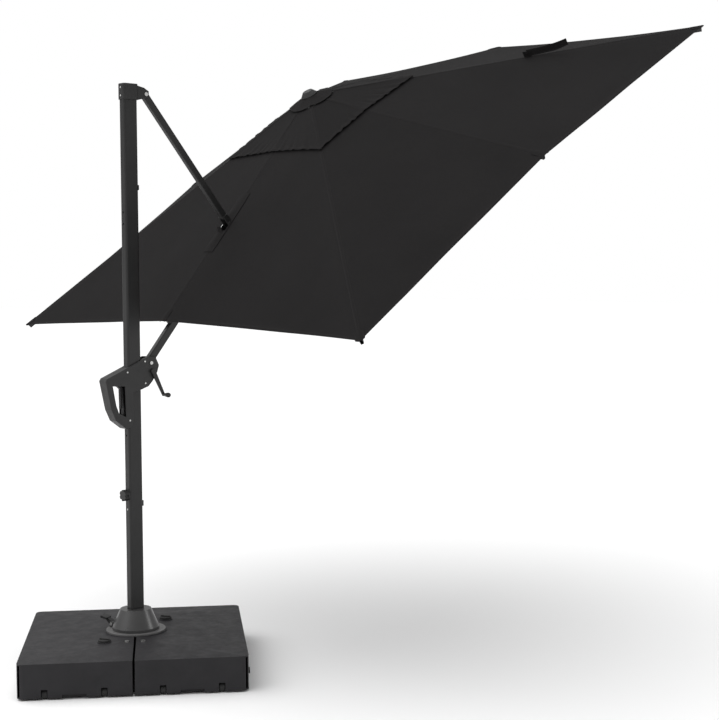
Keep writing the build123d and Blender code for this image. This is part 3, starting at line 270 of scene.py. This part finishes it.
finishOfNode = {
    "brightZinc": ("clamp_pin", "lock_pin", "pedal_pin", "slider_pin", "slider_screws", "strut_pin", "tie_bolts"),
    "paleSteel": ("pedestal", "cross_frame"),
    "linerNylon": ("slider_liner", "swivel_bush", "winch_spool"),
    "rollerRubber": (
        "slider_stop", "roller_front_left", "roller_front_right", "roller_rear_left", "roller_rear_right",
        "fill_cap_left", "fill_cap_right", "drain_plugs",
    ),
    "tankPlastic": ("tank_left", "tank_right"),
    "mouldedNylon": (
        "boom_foot", "boom_knuckle", "crank_grip", "foot_pedal", "hub_crown", "latch_trigger", "mast_knob",
        "runner", "slider_shell_left", "slider_shell_right", "top_bracket", "top_cap",
    ),
    "bellPlastic": ("swivel_bell",),
}
finishByNode = {node: name for name, group in finishOfNode.items() for node in group}
for nodeName, cadObject in nodes.items():
    finish = finishes[finishByNode.get(nodeName, "mastCoat")]
    if not cadObject.material_slots:
        cadObject.data.materials.append(finish)
    for materialSlot in cadObject.material_slots:
        materialSlot.material = finish
print("finishes on", len(nodes), "nodes")

# canvas, read from the cloth's own two maps: weave on clothUv, stitches on seamUv
canvasSet = {
    "dark": 0.0098, "light": 0.0126, "tint": (1.0, 0.93, 0.95), "thread": 0.024,
    "yarn": 0.0011, "weave": 0.35, "weaveDepth": 0.0004, "rough": 0.92, "sheen": 0.01,
    "stitchWidth": 0.0007, "stitchPitch": 0.0042, "stitchShare": 0.66, "slub": 180.0,
}


def canvasFinish(name, s):
    finish, tree, shader, place = startFinish(name, {"specular": 0.1})
    cloth = addNode(tree, "ShaderNodeUVMap", uv_map="clothUv").outputs["UV"]
    seam = addNode(tree, "ShaderNodeUVMap", uv_map="seamUv").outputs["UV"]
    across = addNode(tree, "ShaderNodeSeparateXYZ", {0: cloth})
    waves = [
        addMath(tree, "SINE", addMath(tree, "MULTIPLY", across.outputs[axis], 2 * math.pi / s["yarn"]))
        for axis in ("X", "Y")
    ]
    weave = addMath(tree, "MULTIPLY", waves[0], waves[1])
    slubPlace = addNode(tree, "ShaderNodeMapping", {"Vector": cloth, "Scale": (s["slub"], 14.0, 1.0)})
    slub = addNoise(tree, slubPlace.outputs["Vector"], 1.0, 3.0, 0.6).outputs["Fac"]
    clouds = addNoise(tree, place, 2.2, 4.0, 0.55).outputs["Fac"]
    shade = addMath(tree, "ADD", addMath(tree, "MULTIPLY", slub, 0.35), addMath(tree, "MULTIPLY", clouds, 0.65))
    colour = addRamp(tree, shade, [(0.35, grey(s["dark"], s["tint"])), (0.65, grey(s["light"], s["tint"]))])
    line = addNode(tree, "ShaderNodeSeparateXYZ", {0: seam})
    near = addMath(tree, "LESS_THAN", addMath(tree, "ABSOLUTE", line.outputs["X"]), s["stitchWidth"])
    beat = addMath(tree, "FRACT", addMath(tree, "DIVIDE", line.outputs["Y"], s["stitchPitch"]))
    stitch = addMath(tree, "MULTIPLY", near, addMath(tree, "LESS_THAN", beat, s["stitchShare"]))
    sewn = addNode(
        tree, "ShaderNodeMix", {"Factor": stitch, "A": colour, "B": (*grey(s["thread"], s["tint"]), 1)},
        data_type="RGBA",
    )
    tree.links.new(sewn.outputs["Result"], shader.inputs["Base Color"])
    height = addMath(tree, "ADD", weave, addMath(tree, "MULTIPLY", stitch, 2.5))
    bump = addNode(tree, "ShaderNodeBump", {"Strength": s["weave"], "Distance": s["weaveDepth"], "Height": height})
    tree.links.new(bump.outputs["Normal"], shader.inputs["Normal"])
    shader.inputs["Roughness"].default_value = s["rough"]
    shader.inputs["Sheen Weight"].default_value = s["sheen"]
    shader.inputs["Sheen Roughness"].default_value = 0.6
    return finish


canvas = canvasFinish("charcoalCanvas", canvasSet)
webbing = canvasFinish("blackWebbing", {**canvasSet, "dark": 0.007, "light": 0.011, "yarn": 0.0022, "weave": 0.6})
print("canvas made")

# canopy, laid over the ribs in the canopy's own axes: out along the boom, left, and up its post
canopySet = {
    "apex": (1.062542, 0.0, 2.697389),
    "tilt": 33.1,
    "half": 1.35,
    "midSlope": 18.0,
    "cornerSlope": 14.6,
    "cloth": 0.0013,
    "sag": 0.011,          # between two ribs, at the edge
    "scallop": 0.010,      # the edge draws in between two ribs
    "crease": 0.0016,
    "mainStart": 0.12,
    "ventEnd": 0.269,
    "ventStart": 0.125,
    "ventLift": 0.006,
    "ventRipple": 0.0042,
    "hem": 0.020,
    "hemRise": 0.0008,
    "foldKeep": 0.13,
}
canopyTilt = math.radians(canopySet["tilt"])
apex = Vector(canopySet["apex"])
outAxis = Vector((math.cos(canopyTilt), 0.0, math.sin(canopyTilt)))
leftAxis = Vector((0.0, 1.0, 0.0))
upAxis = Vector((-math.sin(canopyTilt), 0.0, math.cos(canopyTilt)))
midDrop = canopySet["half"] * math.tan(math.radians(canopySet["midSlope"]))
cornerDrop = canopySet["half"] * math.sqrt(2) * math.tan(math.radians(canopySet["cornerSlope"]))
ribBodies = {0: "rib_1", 90: "rib_2", 270: "rib_3", 45: "rib_4", 135: "rib_5", 225: "rib_6", 315: "rib_7", 180: "boom"}


def reachAt(azimuth):
    c, s = abs(math.cos(azimuth)), abs(math.sin(azimuth))
    return canopySet["half"] / max(c, s), min(c, s) / max(c, s)


# A point on the cloth over the plan point (out, left), raised off it by lift.
def onCloth(out, left, lift=0.0):
    reach, along = reachAt(math.atan2(left, out))
    share = math.hypot(out, left) / reach
    between = 4 * along * (1 - along)
    crease = noise.noise(Vector((out * 2.6, left * 2.6, 0.7))) * canopySet["crease"] * between * 2
    fall = (midDrop + (cornerDrop - midDrop) * along) * share
    sag = canopySet["sag"] * between * share ** 1.4
    return apex + outAxis * out + leftAxis * left + upAxis * (lift + crease - fall - sag)


def finishMesh(bm, name, material, thickness=0.0, levels=0):
    mesh = bpy.data.meshes.new(name)
    bmesh.ops.recalc_face_normals(bm, faces=bm.faces)
    if bm.faces and sum((f.normal.dot(upAxis) for f in bm.faces)) < 0 and thickness:
        bmesh.ops.reverse_faces(bm, faces=bm.faces)
    for edge in bm.edges:      # crisp cut edges, so that neighbours meet without a bright line
        edge.smooth = not edge.is_boundary
    for face in bm.faces:
        face.smooth = True
    bm.to_mesh(mesh)
    bm.free()
    piece = bpy.data.objects.new(name, mesh)
    bpy.context.scene.collection.objects.link(piece)
    mesh.materials.append(material)
    if thickness:
        shell = piece.modifiers.new("clothThickness", "SOLIDIFY")
        shell.thickness = thickness
        shell.offset = 1.0
    if levels:
        smooth = piece.modifiers.new("smoothing", "SUBSURF")
        smooth.levels = levels
        smooth.render_levels = levels
    return piece


# A grid of cloth: place(i, j) gives each vertex's point and its two map values.
def makeCloth(name, across, along, place, material, thickness, drop=None):
    bm = bmesh.new()
    bmesh.ops.create_grid(bm, x_segments=len(across) - 1, y_segments=len(along) - 1, size=0.5)
    clothUv = bm.loops.layers.uv.new("clothUv")
    seamUv = bm.loops.layers.uv.new("seamUv")
    maps = {}
    for vertex in bm.verts:
        i = round((vertex.co.x + 0.5) * (len(across) - 1))
        j = round((vertex.co.y + 0.5) * (len(along) - 1))
        point, weaveAt, seamAt = place(across[i], along[j])
        vertex.co = point
        maps[vertex] = (weaveAt, seamAt)
    for face in bm.faces:
        for loop in face.loops:
            loop[clothUv].uv, loop[seamUv].uv = maps[loop.vert]
    if drop:
        gone = [f for f in bm.faces if drop(f.calc_center_median())]
        bmesh.ops.delete(bm, geom=gone, context="FACES")
    return finishMesh(bm, name, material, thickness)


def carry(piece, azimuth, fold=True):
    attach(piece, ribBodies[azimuth])
    if fold:
        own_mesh(piece)
    return piece


def evenSteps(start, end, count):
    return [start + (end - start) * k / count for k in range(count + 1)]


# The panel over one rib runs half way to the next rib on each side, where it meets the next panel.
slotSet = {"from": 0.665, "to": 0.990, "halfWidth": 0.03}      # run down the slope from the apex


def panelPlace(azimuth, lift, ripple, lastShare):
    centre = math.radians(azimuth)

    def place(turn, share):
        angle = centre + math.radians(turn)
        reach, along = reachAt(angle)
        between = 4 * along * (1 - along)
        pull = 1 - canopySet["scallop"] * between * (share / lastShare) ** 4
        out, left = (reach * share * pull * f(angle) for f in (math.cos, math.sin))
        toEdge = reach * (lastShare - share)
        rise = lift + (canopySet["hemRise"] if toEdge < canopySet["hem"] - 0.0005 else 0.0)
        wave = math.sin(angle * 46) * 0.6 + math.sin(angle * 74 + 1.3) * 0.4
        rise += ripple * (share / lastShare) ** 8 * (0.9 + wave * (0.35 + 0.65 * between))
        edgeLine = canopySet["half"] * lastShare * math.tan(math.radians(((math.degrees(angle) + 45) % 90) - 45))
        return (
            onCloth(out, left, rise),
            (reach * share * math.sin(angle - centre), reach * share * math.cos(angle - centre)),
            (toEdge - canopySet["hem"] * 0.8, edgeLine),
        )

    return place


def hemRows(start, end, count):
    hem = canopySet["hem"] / (canopySet["half"] * 1.15)
    return evenSteps(start, end - hem * 1.08, count) + [end - hem * 0.94, end - hem * 0.5, end]


def inSlot(centre):
    local = centre - apex
    out, left = local.dot(outAxis), local.dot(leftAxis)
    run = -out / math.cos(math.radians(canopySet["midSlope"]))
    ends = min(run - slotSet["from"], slotSet["to"] - run)
    if ends < 0:
        return False
    inset = max(0.0, slotSet["halfWidth"] - ends)
    return abs(left) < math.sqrt(max(slotSet["halfWidth"] ** 2 - inset ** 2, 0.0))


panels = {}
turns = evenSteps(-22.5, 22.5, 30)
slotTurns = evenSteps(-22.5, -3.0, 14) + evenSteps(-2.6, 2.6, 26) + evenSteps(3.0, 22.5, 14)
for azimuth in sorted(ribBodies):
    number = azimuth // 45
    through = azimuth == 180
    rows = hemRows(canopySet["mainStart"], 1.0, 150 if through else 44)
    panel = makeCloth(
        f"clothPanel_{number}", slotTurns if through else turns, rows,
        panelPlace(azimuth, 0.0002, 0.0, 1.0), canvas, canopySet["cloth"], inSlot if through else None,
    )
    carry(panel, azimuth)
    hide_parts("canopy")
    flap = makeCloth(
        f"ventPanel_{number}", turns, hemRows(canopySet["ventStart"] * 0.55, canopySet["ventEnd"], 22),
        panelPlace(azimuth, canopySet["ventLift"] + 0.0002, canopySet["ventRipple"], canopySet["ventEnd"]),
        canvas, canopySet["cloth"],
    )
    carry(flap, azimuth)
    panels[azimuth] = (panel, flap)
print("canopy panels made,", len(panels) * 2)

# round patch under the cap, on the hub
crownSet = {"radius": 0.118, "hole": 0.012, "lift": 0.0142}


def crownPlace(turn, radius):
    angle = math.radians(turn)
    out, left = radius * math.cos(angle), radius * math.sin(angle)
    return onCloth(out, left, crownSet["lift"]), (out, left), (crownSet["radius"] - 0.006 - radius, angle * crownSet["radius"])


crown = makeCloth("crownPatch", evenSteps(0, 360, 96), evenSteps(crownSet["hole"], crownSet["radius"], 12), crownPlace, canvas, 0.001)
crownBm = bmesh.new()
crownBm.from_mesh(crown.data)
bmesh.ops.remove_doubles(crownBm, verts=crownBm.verts, dist=0.0001)
crownBm.to_mesh(crown.data)
crownBm.free()
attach(crown, "hub")

# flat seam tapes over the ribs, with a row of stitches down each side
tapeSet = {"half": 0.009, "stitch": 0.0065, "rise": 0.0015, "cloth": 0.0005}


def tapePlace(azimuth, lift):
    a = math.radians(azimuth)

    def place(side, radius):
        out = radius * math.cos(a) - side * math.sin(a)
        left = radius * math.sin(a) + side * math.cos(a)
        return onCloth(out, left, lift), (side, radius), (abs(side) - tapeSet["stitch"], radius)

    return place


tapeSides = [-0.009, -0.0075, -0.0065, -0.0055, -0.002, 0.0, 0.002, 0.0055, 0.0065, 0.0075, 0.009]
tapes = {azimuth: [] for azimuth in ribBodies}
for azimuth in sorted(ribBodies):
    reach = reachAt(math.radians(azimuth))[0]
    runs = [("seamTape", canopySet["ventEnd"] * reach * 0.9, reach - 0.004, tapeSet["rise"])]
    if azimuth == 180:
        slopeShare = math.cos(math.radians(canopySet["midSlope"]))
        runs = [
            ("seamTape", canopySet["ventEnd"] * reach * 0.9, slotSet["from"] * slopeShare - 0.012, tapeSet["rise"]),
            ("closureTape", slotSet["to"] * slopeShare + 0.014, reach - 0.004, tapeSet["rise"]),
        ]
    runs.append(("ventTape", 0.11, canopySet["ventEnd"] * reach - 0.003, canopySet["ventLift"] + tapeSet["rise"] + 0.0006))
    for label, start, end, lift in runs:
        tape = makeCloth(
            f"{label}_{azimuth // 45}", tapeSides, evenSteps(start, end, 60), tapePlace(azimuth, lift),
            canvas, tapeSet["cloth"],
        )
        carry(tape, azimuth)
        tapes[azimuth].append(tape)

# pockets that take the rib tips
pocketSet = {"length": 0.062, "half": 0.022, "rise": 0.0022}
for azimuth in sorted(ribBodies):
    reach = reachAt(math.radians(azimuth))[0]
    corner = azimuth % 90 == 45
    a = math.radians(azimuth)

    def pocketPlace(side, run, corner=corner, a=a, reach=reach):
        radius = reach + 0.003 - run
        width = side * (min(1.0, 0.25 + run / pocketSet["half"]) if corner else 1.0)
        out = radius * math.cos(a) - width * math.sin(a)
        left = radius * math.sin(a) + width * math.cos(a)
        puff = 0.0015 * (1 - (side / pocketSet["half"]) ** 2)
        inner = min(pocketSet["half"] - abs(side), pocketSet["length"] - run) - 0.005
        return onCloth(out, left, pocketSet["rise"] + puff), (width, radius), (inner, run + side)

    pocket = makeCloth(
        f"tipPocket_{azimuth // 45}", evenSteps(-pocketSet["half"], pocketSet["half"], 14),
        evenSteps(0.0, pocketSet["length"], 18), pocketPlace, canvas, 0.0012,
    )
    carry(pocket, azimuth)
    tapes[azimuth].append(pocket)

print("tapes and pockets made")

# bound edge of the strut's slot, and its two small flaps
slotBinding = {"rise": 0.0030}


def slotOutline(turn, swell):
    slopeShare = math.cos(math.radians(canopySet["midSlope"]))
    half = slotSet["halfWidth"] + swell
    low, high = slotSet["from"] + slotSet["halfWidth"], slotSet["to"] - slotSet["halfWidth"]
    angle = math.radians(turn)
    run = (high if math.cos(angle) > 0 else low) + half * math.cos(angle)
    if abs(math.cos(angle)) < 0.02:
        run = (low + high) / 2
    return -run * slopeShare, half * math.sin(angle)


def bindingPlace(turn, swell):
    out, left = slotOutline(turn, swell)
    return onCloth(out, left, slotBinding["rise"]), (left, -out), (swell - 0.004, math.radians(turn) * 0.09)


binding = makeCloth("slotBinding", evenSteps(0, 360, 96), [-0.002, 0.0, 0.003, 0.005, 0.009], bindingPlace, webbing, 0.0014)
carry(binding, 180, fold=False)
tapes[180].append(binding)

# sleeve hanging from the slot, and a cover with a small standing flap at each end of the slot, carried by the boom
coverSet = {
    "sleeve": 0.085, "draw": 0.35, "half": 0.036, "rise": 0.0034, "keep": 0.08, "flapLength": 0.030, "flapHalf": 0.017,
    "upper": (0.642, 0.818, 0.05),      # sewn end, free end, how far its flap stands
    "lower": (1.006, 0.876, 0.45),
}


def sleevePlace(turn, depth):
    share = depth / coverSet["sleeve"]
    out, left = slotOutline(turn, -0.001)
    left *= 1 - coverSet["draw"] * share
    lift = -0.001 - depth + 0.002 * math.sin(math.radians(turn) * 9) * share
    return onCloth(out, left, 0.0) + upAxis * lift, (math.radians(turn) * 0.09, depth), (0.01, 0.0)


sleeve = makeCloth("slotSleeve", evenSteps(0, 360, 96), evenSteps(0.0, coverSet["sleeve"], 12), sleevePlace, webbing, 0.0008)
carry(sleeve, 180, fold=False)
tapes[180].append(sleeve)


def makeCover(name, rootRun, endRun, stand):
    slopeShare = math.cos(math.radians(canopySet["midSlope"]))
    way = math.copysign(1.0, endRun - rootRun)
    root, end = (onCloth(-run * slopeShare, 0.0) for run in (rootRun, endRun))

    def coverPlace(side, run):
        share = (run - rootRun) / (endRun - rootRun)
        bow = 0.004 * math.sin(share * math.pi) * (1 - (side / coverSet["half"]) ** 2)
        hem = min(coverSet["half"] - abs(side), abs(endRun - run)) - 0.005
        return onCloth(-run * slopeShare, side, coverSet["rise"] + bow), (side, run), (hem, run + side)

    def flapPlace(side, along):
        lift = coverSet["rise"] + 0.0015 + stand * along * (0.4 + along / coverSet["flapLength"])
        out = -(endRun + way * (along * 0.35 - 0.012)) * slopeShare
        return onCloth(out, side, lift), (side, along), (abs(side) - coverSet["flapHalf"] + 0.004, along)

    sides = evenSteps(-coverSet["half"], coverSet["half"], 16)
    flapSides = evenSteps(-coverSet["flapHalf"], coverSet["flapHalf"], 10)
    cloths = [
        makeCloth(f"slotCover{name}", sides, evenSteps(rootRun, endRun, 40), coverPlace, canvas, 0.0010),
        makeCloth(f"slotFlap{name}", flapSides, evenSteps(0.0, coverSet["flapLength"], 10), flapPlace, canvas, 0.0012),
    ]
    for cloth in cloths:
        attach(cloth, "boom")
        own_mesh(cloth)
        tapes[180].append(cloth)


makeCover("Upper", *coverSet["upper"])
makeCover("Lower", *coverSet["lower"])

for azimuth, (panel, flap) in panels.items():
    reach = reachAt(math.radians(azimuth))[0]

# tie strap, folded over on the near right ridge
tieSet = {"from": 1.07, "to": 1.272, "height": 0.034, "thick": 0.0022, "loop": 0.014, "azimuth": 315}


def tiePlace(up, run):
    a = math.radians(tieSet["azimuth"])
    share = (run - tieSet["from"]) / (tieSet["to"] - tieSet["from"])
    bow = 0.006 * math.sin(share * math.pi * 2.2)
    lean = 0.35 * up + bow
    out = run * math.cos(a) + lean * math.sin(a) * -1
    left = run * math.sin(a) + lean * math.cos(a)
    lift = 0.003 + up + 0.024 * share ** 2
    return onCloth(out, left, 0.0) + upAxis * lift, (up, run), (abs(up - tieSet["height"] / 2) - 0.013, run)


strap = makeCloth("tieStrap", evenSteps(0.0, tieSet["height"], 8), evenSteps(tieSet["from"], tieSet["to"], 30), tiePlace, webbing, tieSet["thick"])
carry(strap, tieSet["azimuth"], fold=False)


def loopPlace(turn, up):
    a = math.radians(tieSet["azimuth"])
    angle = math.radians(turn)
    run = tieSet["from"] + tieSet["loop"] * 1.4 * math.cos(angle)
    lean = tieSet["loop"] * 0.5 * math.sin(angle)
    out = run * math.cos(a) - lean * math.sin(a)
    left = run * math.sin(a) + lean * math.cos(a)
    return onCloth(out, left, 0.0) + upAxis * (0.002 + up), (up, angle * 0.02), (abs(up - 0.014) - 0.009, angle * 0.02)


loop = makeCloth("tieLoop", evenSteps(0, 360, 40), evenSteps(0.0, 0.028, 6), loopPlace, webbing, 0.0018)
carry(loop, tieSet["azimuth"], fold=False)
print("slot binding, flaps and tie strap made")

# lip inside the slider's handle opening, one on each shell
lipSet = {
    "opening": ((-0.121, 1.307), (-0.058, 1.303), (-0.054, 1.165), (-0.090, 1.183), (-0.104, 1.219)),
    "width": 0.008,
    "from": 0.0115,
    "to": 0.0275,
    "round": 0.0025,
}


def makeLip(name, way, s):
    bm = bmesh.new()
    outline = [bm.verts.new((x, way * s["from"], z)) for x, z in s["opening"]]
    face = bm.faces.new(outline)
    bmesh.ops.inset_region(bm, faces=[face], thickness=s["width"], use_boundary=True, use_even_offset=True)
    bmesh.ops.delete(bm, geom=[face], context="FACES_ONLY")
    raised = bmesh.ops.extrude_face_region(bm, geom=bm.faces[:])["geom"]
    bmesh.ops.translate(
        bm, vec=(0, way * (s["to"] - s["from"]), 0), verts=[g for g in raised if isinstance(g, bmesh.types.BMVert)],
    )
    bmesh.ops.recalc_face_normals(bm, faces=bm.faces)
    rim = [e for e in bm.edges if all(abs(v.co.y) > s["to"] - 0.0001 for v in e.verts) and e.calc_face_angle(0) > 0.5]
    bmesh.ops.bevel(
        bm, geom=rim, offset=s["round"], offset_type="OFFSET", segments=3, profile=0.5, material=-1, affect="EDGES",
    )
    lip = finishMesh(bm, name, finishes["mouldedNylon"])
    lip.data.set_sharp_from_angle(angle=math.radians(40))
    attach(lip, "slider")
    return lip


makeLip("handleLipRight", -1, lipSet)
makeLip("handleLipLeft", 1, lipSet)
print("handle lips made")

# small hardware on the mast: domed rivets and a sprung button at the mast joint
rivetSet = {
    "radius": 0.0045,
    "dome": 0.0022,
    "rear": ((-0.0402, 0.0, 2.6535), (-0.0402, 0.0, 2.6165), (-0.0352, 0.0, 0.735)),
}


def makeRivets(name, places, way, s):
    bm = bmesh.new()
    profile = [bm.verts.new((r * s["radius"], 0.0, h * s["dome"])) for r, h in ((1.0, 0.0), (1.0, 0.25), (0.85, 0.62), (0.55, 0.9), (0.0, 1.0))]
    edges = [bm.edges.new(pair) for pair in zip(profile, profile[1:])]
    bmesh.ops.spin(
        bm, geom=profile + edges, cent=(0, 0, 0), axis=(0, 0, 1), angle=math.tau, steps=20, use_merge=True,
    )
    bmesh.ops.remove_doubles(bm, verts=bm.verts, dist=0.00005)
    bmesh.ops.holes_fill(bm, edges=bm.edges, sides=0)
    first = bm.verts[:] + bm.edges[:] + bm.faces[:]
    turn = Vector(way).to_track_quat("Z", "Y").to_matrix().to_4x4()
    for place in places[1:]:
        copied = bmesh.ops.duplicate(bm, geom=first)["geom"]
        bmesh.ops.transform(bm, matrix=Matrix.Translation(place) @ turn, verts=[g for g in copied if isinstance(g, bmesh.types.BMVert)])
    bmesh.ops.transform(bm, matrix=Matrix.Translation(places[0]) @ turn, verts=[g for g in first if isinstance(g, bmesh.types.BMVert)])
    rivets = finishMesh(bm, name, finishes["brightZinc"])
    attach(rivets, "mast")
    return rivets


makeRivets("rearRivets", rivetSet["rear"], (-1, 0, 0), rivetSet)

buttonSet = {"place": (0.0352, 0.0, 0.758), "size": (0.012, 0.020, 0.026), "round": 0.004}


def makeButton(s):
    bm = bmesh.new()
    bmesh.ops.create_cube(bm, size=1.0)
    bmesh.ops.scale(bm, vec=s["size"], verts=bm.verts)
    bmesh.ops.translate(bm, vec=Vector(s["place"]) + Vector((s["size"][0] / 2, 0, 0)), verts=bm.verts)
    outer = [e for e in bm.edges if all(v.co.x > s["place"][0] + s["size"][0] / 2 for v in e.verts)]
    bmesh.ops.bevel(
        bm, geom=outer, offset=s["round"], offset_type="OFFSET", segments=4, profile=0.5, material=-1,
        affect="EDGES",
    )
    button = finishMesh(bm, "jointButton", finishes["mouldedNylon"])
    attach(button, "mast")
    return button


makeButton(buttonSet)
print("rivets and button made")
